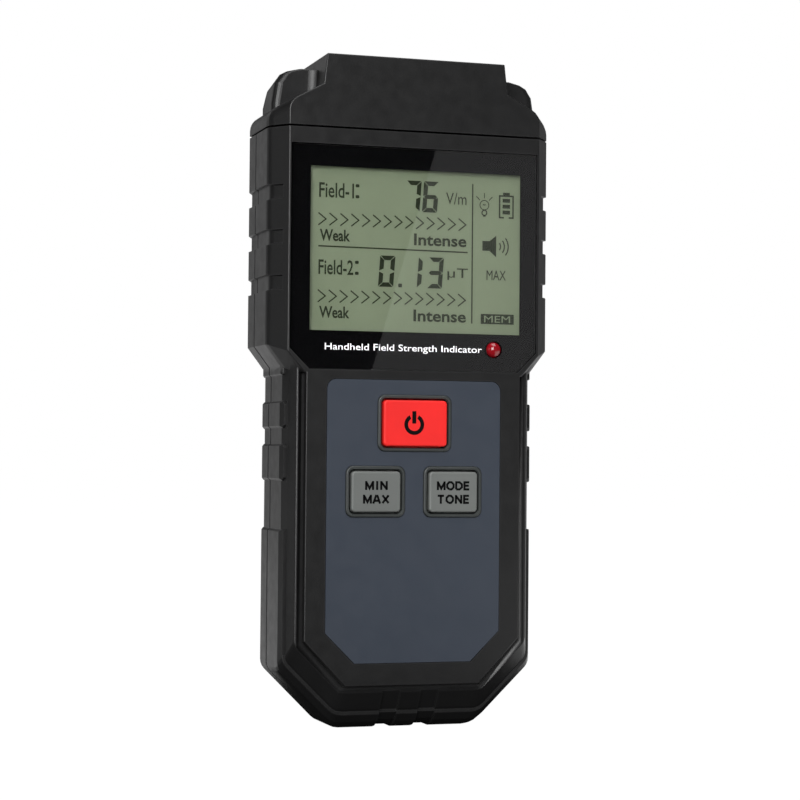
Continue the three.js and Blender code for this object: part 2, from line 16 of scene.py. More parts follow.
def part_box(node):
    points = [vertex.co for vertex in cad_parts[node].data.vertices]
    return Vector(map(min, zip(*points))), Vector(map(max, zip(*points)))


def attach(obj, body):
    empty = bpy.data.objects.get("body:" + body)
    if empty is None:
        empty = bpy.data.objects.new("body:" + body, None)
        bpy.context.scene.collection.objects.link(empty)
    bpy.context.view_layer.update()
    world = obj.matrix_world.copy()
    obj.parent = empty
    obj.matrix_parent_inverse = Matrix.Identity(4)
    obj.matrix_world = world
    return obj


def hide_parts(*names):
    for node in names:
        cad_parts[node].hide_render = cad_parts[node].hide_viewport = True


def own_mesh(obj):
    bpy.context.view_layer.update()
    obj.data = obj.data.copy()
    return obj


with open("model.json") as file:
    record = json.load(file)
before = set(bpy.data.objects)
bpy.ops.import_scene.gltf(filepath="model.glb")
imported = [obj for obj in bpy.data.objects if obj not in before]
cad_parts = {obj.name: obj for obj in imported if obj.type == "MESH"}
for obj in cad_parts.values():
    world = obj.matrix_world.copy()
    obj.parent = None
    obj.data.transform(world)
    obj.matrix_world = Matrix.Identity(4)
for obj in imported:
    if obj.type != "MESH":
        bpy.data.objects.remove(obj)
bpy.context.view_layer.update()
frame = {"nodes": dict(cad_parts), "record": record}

MM = 0.001
DATUM = 0.95               # heights are drawn from a line this far below the foot


def box_mm(*nodes):
    """Lowest and highest corners, in millimetres, of the box round some CAD nodes."""
    boxes = [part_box(node) for node in nodes]
    low = [min(box[0][axis] for box in boxes) / MM for axis in range(3)]
    high = [max(box[1][axis] for box in boxes) / MM for axis in range(3)]
    return (*low[:2], low[2] + DATUM), (*high[:2], high[2] + DATUM)


# ---------------------------------------------------------------- sizes, in millimetres
(_, CASE_FRONT, _), (HEAD_HALF, CASE_BACK, BODY_TOP) = box_mm("front_shell", "rear_shell")
TOTAL_HEIGHT = box_mm("sensor_cap")[1][2]
CAP_BASE = BODY_TOP + 0.3
GRIP_HALF = 25
NECK_TOP = 74.4
NECK_LOW = 69.9
PAD_PROUD = 0.46           # the grip pads, a little under their CAD height of 0.5
SKIN_DROP = 0.02           # the rounded outer skin lies this far inside the CAD faces
NOTCH_DEPTH = 0.56
NOTCH_HEIGHTS = (86.15, 94.8, 103.4)
SIDE_PADS = ((58.5, 63.8), (48.5, 55.6))
BUMPER_TOP = 39.3
FOOT_GAP = (2.1, 5.6)
FOOT_GAP_TOP = 8.6
PARTING = 0.6              # where the front and rear halves meet
CORNER = 3.5               # radius of the long edges between the head's sides and its bevels
KEY_GAP = 0.27             # between a key and its bezel
BEZEL_BAND = 0.75
BEZEL_FLANGE = 0.5

CAMERA_AZIMUTH = math.radians(-17.407)
CAMERA_ELEVATION = math.radians(-1.546)
CAMERA_ROLL = math.radians(0.48)
CAMERA_DISTANCE = 0.42209
CAMERA_TARGET = Vector((0.00111, 0, 0.063566))
CAMERA_LENS = 96.03


# ---------------------------------------------------------------- solids
def unit(vector):
    return vector / np.linalg.norm(vector)


def hull(points):
    """A closed bmesh round the points."""
    solid = bmesh.new()
    for point in points:
        solid.verts.new(point)
    made = bmesh.ops.convex_hull(solid, input=solid.verts)
    spare = [v for v in made["geom_interior"] + made["geom_unused"]
             if isinstance(v, bmesh.types.BMVert)]
    bmesh.ops.delete(solid, geom=list(set(spare)), context="VERTS")
    bmesh.ops.recalc_face_normals(solid, faces=solid.faces)
    return solid


def face_planes(points):
    """The faces of a convex solid, each as (normal, distance from the origin)."""
    solid = hull(points)
    planes = []
    for face in solid.faces:
        plane = np.array((*face.normal, face.normal.dot(face.verts[0].co)))
        known = any(np.abs(plane[:3] - other[:3]).max() < 0.004
                    and abs(plane[3] - other[3]) < 0.05 for other in planes)
        if not known:
            planes.append(plane)
    solid.free()
    return np.array(planes)


def grown(planes, distance):
    """The same faces moved outwards by a distance."""
    return planes + np.array((0, 0, 0, distance))


def box_planes(low, high):
    """The six faces of a box."""
    faces = []
    for axis in range(3):
        normal = np.eye(3)[axis]
        faces += [(*normal, high[axis]), (*-normal, -low[axis])]
    return np.array(faces, float)


def solid_corners(planes):
    """Each corner of the convex solid inside the planes, with the planes that meet there."""
    trios = np.array(list(itertools.combinations(range(len(planes)), 3)))
    normals = planes[trios, :3]
    trios = trios[np.abs(np.linalg.det(normals)) > 1e-5]
    corners = np.linalg.solve(planes[trios, :3], planes[trios, 3:])[..., 0]
    inside = (corners @ planes[:, :3].T - planes[:, 3]).max(1) < 1e-4
    found = {}
    for corner, trio in zip(corners[inside], trios[inside]):
        found.setdefault(tuple(np.round(corner, 3)), set()).update(trio.tolist())
    return found


def around(normals):
    """Normals that meet at a corner, in order round their middle direction."""
    middle = unit(sum(normals))
    side = unit(np.cross(middle, normals[0]))
    other = np.cross(middle, side)
    return middle, sorted(normals, key=lambda n: math.atan2(n @ other, n @ side))


def rounded(planes, radius, steps=4):
    """A bmesh of the convex solid inside the planes, with every edge rounded."""
    points = []
    for corner, members in solid_corners(grown(planes, -radius)).items():
        middle, normals = around([planes[index, :3] for index in sorted(members)])
        points.append(np.array(corner) + radius * middle)
        for first, second in zip(normals, normals[1:] + normals[:1]):
            for step in range(steps):
                edge = unit(first + (second - first) * step / steps)
                for ring in range(1, steps + 1):
                    direction = unit(middle + (edge - middle) * ring / steps)
                    points.append(np.array(corner) + radius * direction)
    return hull(points)


def sharp(planes):
    """A bmesh of the convex solid inside the planes."""
    return hull([np.array(corner) for corner in solid_corners(planes)])


def block(low, high, radius=0.0):
    planes = box_planes(low, high)
    return rounded(planes, radius) if radius else sharp(planes)


def side_block(side, across, depths, heights):
    """A sharp block on one side of the middle, from its reach in each direction."""
    low, high = sorted(side * x for x in across)
    return block((low, depths[0], heights[0]), (high, depths[1], heights[1]))


def mesh_object(name, solid):
    """An object, still in millimetres, that takes over a bmesh."""
    mesh = bpy.data.meshes.new(name)
    solid.to_mesh(mesh)
    solid.free()
    made = bpy.data.objects.new(name, mesh)
    bpy.context.scene.collection.objects.link(made)
    return made


def cad_copy(node, name):
    """A copy of a CAD node's mesh, in millimetres."""
    mesh = frame["nodes"][node].data.copy()
    mesh.materials.clear()
    mesh.transform(Matrix.Translation((0, 0, DATUM)) @ Matrix.Scale(1 / MM, 4))
    solid = bmesh.new()
    solid.from_mesh(mesh)
    bmesh.ops.remove_doubles(solid, verts=solid.verts, dist=1e-4)
    bpy.data.meshes.remove(mesh)
    return mesh_object(name, solid)


def apply_modifiers(piece):
    graph = bpy.context.evaluated_depsgraph_get()
    mesh = bpy.data.meshes.new_from_object(piece.evaluated_get(graph))
    piece.modifiers.clear()
    piece.data = mesh


def combine(first, others, operation):
    """Joins, cuts or intersects a solid with others, which are then removed."""
    for other in others:
        step = first.modifiers.new("step", "BOOLEAN")
        step.operation = operation
        step.solver = "MANIFOLD"
        step.object = other
        apply_modifiers(first)
        bpy.data.objects.remove(other)
    return first


def joined(name, solids):
    parts = [mesh_object(f"{name}.{index}", solid) for index, solid in enumerate(solids)]
    parts[0].name = name
    return combine(parts[0], parts[1:], "UNION")


def cut(piece, solids):
    parts = [mesh_object(f"{piece.name}.cut{index}", solid) for index, solid in enumerate(solids)]
    return combine(piece, parts, "DIFFERENCE")


def lathe(profile, centre, axis="y", segments=48):
    """A closed bmesh: (radius, distance along the axis) pairs turned about the axis."""
    solid = bmesh.new()
    rings = []
    for radius, along in profile:
        count = segments if radius > 1e-6 else 1
        ring = []
        for index in range(count):
            angle = 2 * math.pi * index / segments
            a, b = radius * math.cos(angle), radius * math.sin(angle)
            place = (a, along, b) if axis == "y" else (a, b, along)
            ring.append(solid.verts.new(Vector(centre) + Vector(place)))
        rings.append(ring)
    for lower, upper in zip(rings, rings[1:]):
        for index in range(segments):
            after = (index + 1) % segments
            corners = [lower[index % len(lower)], lower[after % len(lower)],
                       upper[after % len(upper)], upper[index % len(upper)]]
            unique = list(dict.fromkeys(corners))
            if len(unique) > 2:
                solid.faces.new(unique)
    bmesh.ops.recalc_face_normals(solid, faces=solid.faces)
    return solid


def loft(first_ring, last_ring):
    """A closed bmesh between two rings with the same number of points."""
    solid = bmesh.new()
    first = [solid.verts.new(point) for point in first_ring]
    last = [solid.verts.new(point) for point in last_ring]
    solid.faces.new(first)
    solid.faces.new(last[::-1])
    for index in range(len(first)):
        after = (index + 1) % len(first)
        solid.faces.new((first[index], last[index], last[after], first[after]))
    bmesh.ops.recalc_face_normals(solid, faces=solid.faces)
    return solid


def prism(outline, y_front, y_back):
    """A closed bmesh: an outline of (x, z) points between two depths."""
    return loft([(x, y_front, z) for x, z in outline], [(x, y_back, z) for x, z in outline])


TO_FRAME = Matrix.Scale(MM, 4) @ Matrix.Translation((0, 0, -DATUM))


def finish_piece(piece, body, material, replaced=(), smooth=40):
    """Puts a solid in the frame, shades it, and gives it its body and material."""
    solid = bmesh.new()
    solid.from_mesh(piece.data)
    bmesh.ops.remove_doubles(solid, verts=solid.verts, dist=2e-3)
    bmesh.ops.dissolve_limit(solid, angle_limit=math.radians(0.6), verts=solid.verts,
                             edges=solid.edges)
    for face in solid.faces:
        face.smooth = True
    for edge in solid.edges:
        edge.smooth = edge.calc_face_angle(0) < math.radians(smooth)
    solid.to_mesh(piece.data)
    solid.free()
    piece.data.transform(TO_FRAME)
    piece.data.materials.clear()
    piece.data.materials.append(material)
    weighting = piece.modifiers.new("weighted normals", "WEIGHTED_NORMAL")
    weighting.keep_sharp = True
    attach(piece, body)
    if replaced:
        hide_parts(*replaced)
    return piece


# ---------------------------------------------------------------- materials
def new_material(name):
    """A node material, with its Principled shader and a place in the piece's own frame."""
    material = bpy.data.materials.new(name)
    material.use_nodes = True
    tree = material.node_tree
    shader = tree.nodes["Principled BSDF"]
    place = tree.nodes.new("ShaderNodeTexCoord").outputs["Object"]
    return material, tree, shader, place


def noise(tree, place, size_mm, detail=2.0):
    """Noise whose blotches are about size_mm across."""
    node = tree.nodes.new("ShaderNodeTexNoise")
    node.inputs["Scale"].default_value = 1 / (size_mm * MM)
    node.inputs["Detail"].default_value = detail
    tree.links.new(place, node.inputs["Vector"])
    return node.outputs["Fac"]


def mapped(tree, value, low, high, start=0.3, end=0.7):
    """Takes a value between start and end to a range between low and high."""
    node = tree.nodes.new("ShaderNodeMapRange")
    node.inputs["From Min"].default_value = start
    node.inputs["From Max"].default_value = end
    node.inputs["To Min"].default_value = low
    node.inputs["To Max"].default_value = high
    tree.links.new(value, node.inputs["Value"])
    return node.outputs["Result"]


def mixed(tree, amount, first, second):
    """A colour between two colours, or between two sockets that give one."""
    node = tree.nodes.new("ShaderNodeMix")
    node.data_type = "RGBA"
    tree.links.new(amount, node.inputs["Factor"])
    for name, colour in (("A", first), ("B", second)):
        socket = next(s for s in node.inputs if s.name == name and s.type == "RGBA")
        if isinstance(colour, bpy.types.NodeSocket):
            tree.links.new(colour, socket)
        else:
            socket.default_value = (*colour, 1)
    return next(s for s in node.outputs if s.type == "RGBA")


def bump(tree, shader, height, depth_mm, strength=1.0, under=None):
    node = tree.nodes.new("ShaderNodeBump")
    node.inputs["Distance"].default_value = depth_mm * MM
    node.inputs["Strength"].default_value = strength
    tree.links.new(height, node.inputs["Height"])
    if under is not None:
        tree.links.new(under, node.inputs["Normal"])
    tree.links.new(node.outputs["Normal"], shader.inputs["Normal"])
    return node.outputs["Normal"]


def edge_wear(tree, radius_mm):
    """About 1 on tight outer edges and 0 on flats, from how far a bevel turns the normal."""
    bevel = tree.nodes.new("ShaderNodeBevel")
    bevel.samples = 4
    bevel.inputs["Radius"].default_value = radius_mm * MM
    plain = tree.nodes.new("ShaderNodeNewGeometry")
    product = tree.nodes.new("ShaderNodeVectorMath")
    product.operation = "DOT_PRODUCT"
    tree.links.new(bevel.outputs["Normal"], product.inputs[0])
    tree.links.new(plain.outputs["Normal"], product.inputs[1])
    return mapped(tree, product.outputs["Value"], 1, 0, start=0.93, end=0.995)


def moulded(name, colour, worn, roughness=(0.4, 0.5), grain_mm=0.28, depth_mm=0.012,
            wear_mm=0.45):
    """Moulded plastic or rubber: fine spark-eroded grain, faint blotches, rubbed edges."""
    material, tree, shader, place = new_material(name)
    blotches = noise(tree, place, 9.0, 4.0)
    dark = tuple(channel * 0.88 for channel in colour)
    body = mixed(tree, mapped(tree, blotches, 0, 1), dark, colour)
    tree.links.new(mixed(tree, edge_wear(tree, wear_mm), body, worn),
                   shader.inputs["Base Color"])
    tree.links.new(mapped(tree, noise(tree, place, 2.5, 3.0), *roughness),
                   shader.inputs["Roughness"])
    bump(tree, shader, noise(tree, place, grain_mm, 2.0), depth_mm)
    return material


def printed_film(name, colour):
    """Satin polyester film printed on its back."""
    material, tree, shader, place = new_material(name)
    shade = mapped(tree, noise(tree, place, 14.0, 3.0), 0, 1)
    dark = tuple(channel * 0.93 for channel in colour)
    tree.links.new(mixed(tree, shade, dark, colour), shader.inputs["Base Color"])
    tree.links.new(mapped(tree, noise(tree, place, 3.0, 3.0), 0.42, 0.52),
                   shader.inputs["Roughness"])
    bump(tree, shader, noise(tree, place, 0.16, 1.0), 0.004)
    return material


def clear_acrylic(name):
    """The window's clear plastic, with a trace of haze."""
    material, tree, shader, place = new_material(name)
    shader.inputs["Transmission Weight"].default_value = 1
    shader.inputs["Roughness"].default_value = 0
    shader.inputs["IOR"].default_value = 1.49
    haze = mapped(tree, noise(tree, place, 11.0, 4.0), 0, 1)
    tree.links.new(mixed(tree, haze, (0.97, 0.97, 0.97), (1, 1, 1)), shader.inputs["Base Color"])
    return material


def liquid_crystal(name):
    """The reflective cell: grey-green, slightly mottled, with a very fine brushed rear film."""
    material, tree, shader, place = new_material(name)
    shade = mapped(tree, noise(tree, place, 16.0, 2.0), 0, 1)
    tree.links.new(mixed(tree, shade, LCD_SHADE, LCD_COLOUR), shader.inputs["Base Color"])
    tree.links.new(mapped(tree, noise(tree, place, 1.2, 2.0), 0.5, 0.6),
                   shader.inputs["Roughness"])
    bump(tree, shader, noise(tree, place, 0.12, 1.0), 0.003)
    return material


def ink(name, colour, roughness=0.45, sheen=0.5):
    material, tree, shader, place = new_material(name)
    shader.inputs["Specular IOR Level"].default_value = sheen
    lighter = tuple(channel * 1.3 + 0.002 for channel in colour)
    speckle = mapped(tree, noise(tree, place, 0.3, 2.0), 0, 1)
    tree.links.new(mixed(tree, speckle, colour, lighter), shader.inputs["Base Color"])
    shader.inputs["Roughness"].default_value = roughness
    return material


def metal(name, colour, roughness=(0.2, 0.34), streak_mm=0.5):
    material, tree, shader, place = new_material(name)
    shade = mapped(tree, noise(tree, place, 4.0, 3.0), 0, 1)
    dull = tuple(channel * 0.75 for channel in colour)
    tree.links.new(mixed(tree, shade, dull, colour), shader.inputs["Base Color"])
    shader.inputs["Metallic"].default_value = 1
    tree.links.new(mapped(tree, noise(tree, place, streak_mm, 4.0), *roughness),
                   shader.inputs["Roughness"])
    bump(tree, shader, noise(tree, place, 0.2, 2.0), 0.003)
    return material


def gloss(name, colour, roughness=0.12, coat=0.0):
    material, tree, shader, place = new_material(name)
    deep = tuple(channel * 0.8 for channel in colour)
    shade = mapped(tree, noise(tree, place, 3.0, 2.0), 0, 1)
    tree.links.new(mixed(tree, shade, deep, colour), shader.inputs["Base Color"])
    shader.inputs["Roughness"].default_value = roughness
    shader.inputs["Coat Weight"].default_value = coat
    return material


def banded_cell(name, edge, fade):
    """A cell's printed wrap: a dark body with a copper band at its raised terminal."""
    material, tree, shader, place = new_material(name)
    split = tree.nodes.new("ShaderNodeSeparateXYZ")
    tree.links.new(place, split.inputs["Vector"])
    along = mapped(tree, split.outputs["Z"], 0, 1, start=edge * MM, end=(edge + fade) * MM)
    across = mixed(tree, along, (0.012, 0.05, 0.11), (0.5, 0.24, 0.08))
    speckle = mapped(tree, noise(tree, place, 2.0, 3.0), 0, 0.12)
    tree.links.new(mixed(tree, speckle, across, (0.3, 0.3, 0.3)), shader.inputs["Base Color"])
    shader.inputs["Roughness"].default_value = 0.28
    shader.inputs["Coat Weight"].default_value = 0.3
    return material


LCD_COLOUR = (0.1, 0.125, 0.074)
LCD_SHADE = (0.09, 0.114, 0.065)
CASE_BLACK = moulded("case_black", (0.0105, 0.0105, 0.0107), (0.019, 0.019, 0.0195), (0.34, 0.42))
BEZEL_GREY = moulded("bezel_grey", (0.036, 0.041, 0.04), (0.075, 0.082, 0.08), wear_mm=0.25)
FILM_BLUE = printed_film("film_blue", (0.038, 0.048, 0.067))
KEY_RED = moulded("key_red", (0.98, 0.013, 0.011), (1.0, 0.05, 0.04), (0.55, 0.65), 0.2, 0.005, 0.3)
KEY_GREY = moulded("key_grey", (0.158, 0.168, 0.16), (0.3, 0.31, 0.3), (0.5, 0.62), 0.2, 0.005, 0.3)
ACRYLIC = clear_acrylic("acrylic")
BLACK_INK = ink("black_ink", (0.0006, 0.0006, 0.0008), 0.3, 0.0)
KEY_INK = ink("key_ink", (0.001, 0.001, 0.0012), 0.6, 0.1)
LCD_INK = ink("lcd_ink", (0.008, 0.011, 0.005), 0.6, 0.1)
WHITE_INK = ink("white_ink", (0.86, 0.86, 0.88))
LCD_CELL = liquid_crystal("lcd_cell")
DIFFUSER = gloss("diffuser_white", (0.78, 0.78, 0.74), 0.4)
LAMP_RED = gloss("lamp_red", (0.32, 0.006, 0.012), 0.08, 0.6)
BOARD_GREEN = gloss("board_green", (0.012, 0.1, 0.035), 0.3)
CHIP_BLACK = moulded("chip_black", (0.014, 0.014, 0.016), (0.03, 0.03, 0.03), wear_mm=0.1)
FERRITE_GREY = moulded("ferrite_grey", (0.04, 0.04, 0.045), (0.08, 0.08, 0.08), wear_mm=0.1)
RUBBER_GREY = moulded("rubber_grey", (0.1, 0.1, 0.1), (0.14, 0.14, 0.14), (0.6, 0.7), wear_mm=0.1)
CARBON_BLACK = moulded("carbon_black", (0.01, 0.01, 0.01), (0.02, 0.02, 0.02), (0.7, 0.8),
                       wear_mm=0.1)
BRIGHT_NICKEL = metal("bright_nickel", (0.72, 0.73, 0.74))
SCREW_STEEL = metal("screw_steel", (0.3, 0.3, 0.31), (0.28, 0.42))
COPPER = metal("copper", (0.7, 0.34, 0.15))
CELL_BAND = 11.9            # the copper end of a cell's wrap, the raised terminal included
cell_low, cell_high = (corner[2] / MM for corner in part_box("battery_1"))
CELL_WRAP = banded_cell("cell_wrap", cell_high - CELL_BAND, 0.2)
CELL_WRAP_DOWN = banded_cell("cell_wrap_down", cell_low + CELL_BAND, -0.2)
CAPACITOR_BLUE = gloss("capacitor_blue", (0.03, 0.05, 0.12), 0.25)


# ---------------------------------------------------------------- case
def arc(centre, radius, start, end, steps=6):
    """Points of an arc in a plane, between two angles in degrees."""
    angles = [math.radians(start + (end - start) * step / steps) for step in range(steps + 1)]
    return [(centre[0] + radius * math.cos(a), centre[1] + radius * math.sin(a)) for a in angles]


def level(y, corners):
    """Points of a symmetric outline at one depth."""
    return [(side * x, y, z) for x, z in corners for side in (1, -1)]


def soft_corner(corner, radius, start):
    """The arc that rounds a 45-degree turn, which starts facing a direction in degrees."""
    reach = radius / math.cos(math.radians(22.5))
    middle = math.radians(start - 22.5)
    centre = (corner[0] - reach * math.cos(middle), corner[1] - reach * math.sin(middle))
    return arc(centre, radius, start, start - 45, 3)


BEVEL_ANGLE = math.degrees(math.atan2(3.3, 4))


def front_edge():
    """How the head's front edge turns in: (distance in from the side, depth) pairs."""
    back = -9 + CORNER * math.tan(math.radians(BEVEL_ANGLE / 2))
    turn = arc((CORNER, back), CORNER, 180, 180 + BEVEL_ANGLE, 4)
    return [*turn, (3.3, CASE_FRONT)]


def head_planes():
    """The upper body. It runs on above its real top, where the CAD shell ends it."""
    top = BODY_TOP + 2
    points = []
    for shift, y in (*front_edge(), (0, 6)):
        points += level(y, [(HEAD_HALF - shift, top), (HEAD_HALF - shift, NECK_TOP - 0.394 * shift),
                            (GRIP_HALF + 0.1 - 1.03 * shift, NECK_LOW - 0.273 * shift)])
    points += level(CASE_BACK, [(HEAD_HALF - 5, top), (HEAD_HALF - 5, NECK_TOP - 2),
                                (GRIP_HALF - 5, NECK_LOW - 1.4)])
    return face_planes(points)


def grip_planes(soft):
    """The lower body, with a sloped lower end whose corners may be rounded."""
    top = NECK_LOW + 2
    rows = ((-12.2, GRIP_HALF - 1.8, 17.6, 13.9, 8.6), (-10, GRIP_HALF - 0.8, 14.7, 14.5, 5),
            (-8, GRIP_HALF, 13.1, 14.5, 2.75), (-6.4, GRIP_HALF, 12.7, 14.1, 1.8),
            (-5, GRIP_HALF, 12.6, 13.9, DATUM + 0.5), (5.5, GRIP_HALF, 12.6, 13.9, DATUM + 0.5),
            (CASE_BACK, GRIP_HALF - 5, 14.5, 11, 5.5))
    points = []
    for y, half, side_low, foot_half, foot in rows:
        corners = [(half, side_low), (foot_half, foot)]
        if soft:
            corners = soft_corner(corners[0], 2.4, 0) + soft_corner(corners[1], 3.4, -45)
        points += level(y, [(half, top), *corners])
    return face_planes(points)


def plate_outline(y, grow):
    return level(y, [(21.5 + grow, NECK_LOW + 1), (21.5 + grow, 18.35 - grow),
                     (13.35 + grow, 9.65 - grow)])


def plate_planes():
    """The raised plate that the keypad lies on."""
    return face_planes(plate_outline(CASE_FRONT, 0) + plate_outline(CASE_FRONT + 1.1, 0.25))


def plate_channel():
    """The shallow channel round the plate, which its upper end leaves at the head."""
    return hull(plate_outline(CASE_FRONT - 1, 2.2) + plate_outline(CASE_FRONT + 1.1, 1.15)
                + plate_outline(CASE_FRONT + 1.8, 0.45))


def slanted(normal, point):
    """A face through a point."""
    normal = unit(np.array(normal, float))
    return (*normal, float(normal @ np.array(point, float)))


def pad(planes, side, y_ends, z_ends, proud=PAD_PROUD, slopes=(0.45, 0.45)):
    """A raised pad on one side, with sloped ends."""
    left, right = sorted((side * 22, side * 30))
    limits = box_planes((left, y_ends[0], z_ends[0]), (right, y_ends[1], z_ends[1]))
    ends = [slanted((side * 0.8, 0, way), (side * (GRIP_HALF + proud), 0, end - way * slope))
            for way, end, slope in ((-1, z_ends[0], slopes[0]), (1, z_ends[1], slopes[1]))]
    ends += [slanted((0, -1, way), (0, y_ends[0] + 0.8, end))
             for way, end in ((-1, z_ends[0]), (1, z_ends[1]))]
    return rounded(np.vstack((grown(planes, proud), limits, ends)), 0.16)


def bumper(planes):
    """The raised band down both sides and under the foot, with two gaps under the foot."""
    limits = box_planes((-30, -9.6, -1), (30, 8.9, BUMPER_TOP))
    ends = [slanted((side * 0.8, 0, 1), (side * (GRIP_HALF + PAD_PROUD), 0, BUMPER_TOP - 0.45))
            for side in (1, -1)]
    band = mesh_object("bumper", rounded(np.vstack((grown(planes, PAD_PROUD), limits, ends)), 0.2, 2))
    return cut(band, [side_block(side, FOOT_GAP, (-20, 20), (-2, FOOT_GAP_TOP))
                      for side in (1, -1)])


def foot_grooves(planes):
    """The bumper's gaps run on up the front of the foot as grooves with straight walls."""
    grooves = []
    for side in (1, -1):
        groove = mesh_object("groove", side_block(side, FOOT_GAP, (-14, -9.3), (-2, FOOT_GAP_TOP)))
        core = mesh_object("core", sharp(grown(planes, -0.4)))
        grooves.append(combine(groove, [core], "DIFFERENCE"))
    return grooves


def notch_flares(middle, side):
    """A notch's sloped walls: one block along the side, and one round on to the bevel."""
    along = [(side * x, y, middle + half * end) for x, half in ((26.2, 0.85), (27.94, 0.85),
                                                               (28.7, 1.6))
             for y in (-9.6, 9.1 + (x - 26) * 0.15) for end in (1, -1)]
    outward = unit(np.array((4, -3.3)))
    forward = unit(np.array((-3.3, -4)))
    bevel = []
    for depth, half, reach in ((-1.6, 0.85, 3.3), (-0.56, 0.85, 3.35), (0.15, 1.4, 3.8)):
        for run in (-1.2, reach):
            x, y = np.array((HEAD_HALF, -9)) + forward * run + outward * depth
            bevel += [(side * x, y, middle + half * end) for end in (1, -1)]
    return [hull(along), hull(bevel)]


def pad_lines(planes):
    """Fine grooves along the front edges of the pads and the bumper."""
    lines = []
    for low, high in (*SIDE_PADS, (15.5, BUMPER_TOP)):
        for side in (1, -1):
            line = mesh_object("line", side_block(side, (20, 32), (-9.8, -9.5), (low, high)))
            core = mesh_object("core", sharp(grown(planes, -0.3)))
            lines.append(combine(line, [core], "DIFFERENCE"))
    return lines


def head_notches(planes):
    """Shallow finger notches, cut into each side of the head."""
    cutters = []
    for middle in NOTCH_HEIGHTS:
        for side in (1, -1):
            notch = joined("notch", notch_flares(middle, side))
            core = mesh_object("core", sharp(grown(planes, -NOTCH_DEPTH)))
            cutters.append(combine(notch, [core], "DIFFERENCE"))
    return cutters


def parting_groove(head, grip):
    """The fine groove round the case where its halves meet."""
    ring = mesh_object("groove", block((-40, PARTING - 0.33, -5), (40, PARTING + 0.33, BODY_TOP + 1)))
    cores = [mesh_object("core", sharp(grown(planes, -0.6))) for planes in (head, grip)]
    return combine(ring, cores, "DIFFERENCE")


def case_envelope():
    """The whole case's outer skin, with rounded edges."""
    head, grip = grown(head_planes(), -SKIN_DROP), grown(grip_planes(False), -SKIN_DROP)
    foot = grown(grip_planes(True), -SKIN_DROP)
    skin = mesh_object("envelope", rounded(foot, 0.4, 2))
    cut(skin, [plate_channel()])
    raised = [rounded(head, 0.3), rounded(grown(plate_planes(), -SKIN_DROP), 0.25)]
    for side in (1, -1):
        raised += [pad(grip, side, (-9.6, 8.9), ends) for ends in SIDE_PADS]
        raised.append(pad(grip, side, (-8.9, 7.9), (68.1, 71), 0.4, (0.8, 0)))
    pieces = [mesh_object("raised", solid) for solid in raised]
    combine(skin, [*pieces, bumper(foot)], "UNION")
    cutters = [*head_notches(head), *foot_grooves(grip), *pad_lines(grip),
               parting_groove(head, foot)]
    return combine(skin, cutters, "DIFFERENCE")


def copy_of(piece):
    """A second object with its own copy of a solid's mesh."""
    twin = mesh_object(f"{piece.name}_copy", bmesh.new())
    twin.data = piece.data.copy()
    return twin


def case_shells():
    envelope = case_envelope()
    for node, name in (("front_shell", "front_case"), ("rear_shell", "rear_case")):
        shell = combine(cad_copy(node, name), [copy_of(envelope)], "INTERSECT")
        finish_piece(shell, "housing", CASE_BLACK, [node])
    bpy.data.objects.remove(envelope)


# ---------------------------------------------------------------- sensor cap
NOSE_HALF = 17.8
SHOULDER = (18.6, 124.2)
SHOULDER_SLOPE = 28.3       # degrees below level, from the nose out to the side
SHOULDER_RADIUS = 3.0
EAR_FRONT = -6.3            # front face of the block behind the nose


def shoulder_side(shift):
    """The side outline of a shoulder: up the side, round the corner, along the slope."""
    half = HEAD_HALF - shift
    slope = math.radians(SHOULDER_SLOPE)
    meet = SHOULDER[1] - (half - SHOULDER[0]) * math.tan(slope)
    reach = SHOULDER_RADIUS * math.tan((math.pi / 2 - slope) / 2)
    bend = arc((half - SHOULDER_RADIUS, meet - reach), SHOULDER_RADIUS, 0, 90 - SHOULDER_SLOPE, 4)
    return [(half, CAP_BASE - 3), *[p for p in bend if p[1] > CAP_BASE - 3], SHOULDER]


def cap_shoulders():
    points = []
    for shift, y in (*front_edge()[::2], front_edge()[-1], (0, 6)):
        points += level(y, shoulder_side(shift))
    points += level(CASE_BACK, [(HEAD_HALF - 5, CAP_BASE - 3), (HEAD_HALF - 5, 118.2),
                                (NOSE_HALF - 1.2, 121.5)])
    return face_planes(points)


def cap_nose():
    wall = [(NOSE_HALF + 0.15, TOTAL_HEIGHT), (SHOULDER[0], SHOULDER[1]), (SHOULDER[0], 117)]
    return face_planes(level(CASE_FRONT, wall) + level(9, wall)
                       + level(12, [(NOSE_HALF - 2, 126), (SHOULDER[0] - 2, 117)]))


def cap_block():
    """The block behind the nose, narrower and lower towards the rear."""
    points = []
    for shift, y in arc((1.5, EAR_FRONT + 1.5), 1.5, 180, 270, 5):
        points += level(y, [(27.0 - shift, 117), (27.0 - shift, 121), (26.4 - shift, 125),
                            (25.3 - shift, 126.7), (24 - shift, 127.4), (21.9 - shift, 127.9)])
    for y, half, top in ((1, 26.6, 128), (7, 25.7, 126.6)):
        points += level(y, [(half, 117), (half, top - 4.8), (half - 0.3, top - 3.7),
                            (half - 2.2, top - 1.2), (half - 4.5, top)])
    points += level(CASE_BACK, [(20.4, 124), (22.4, 121), (22.6, 117)])
    return face_planes(points)


def cap_fillets():
    """Concave fillets where the nose's walls run back to the block's front."""
    radius = 2.2
    fillets = []
    for side in (1, -1):
        wall = NOSE_HALF + 0.25
        hollow = arc((wall + radius, EAR_FRONT - radius), radius, 90, 180, 6)
        outline = [(wall - 1, EAR_FRONT + 1.5), (wall + radius, EAR_FRONT + 1.5), *hollow,
                   (wall - 1, EAR_FRONT - radius)]
        fillets.append(loft([(side * x, y, 117) for x, y in outline],
                            [(side * (x - 0.3), y, 127.6) for x, y in outline]))
    return fillets


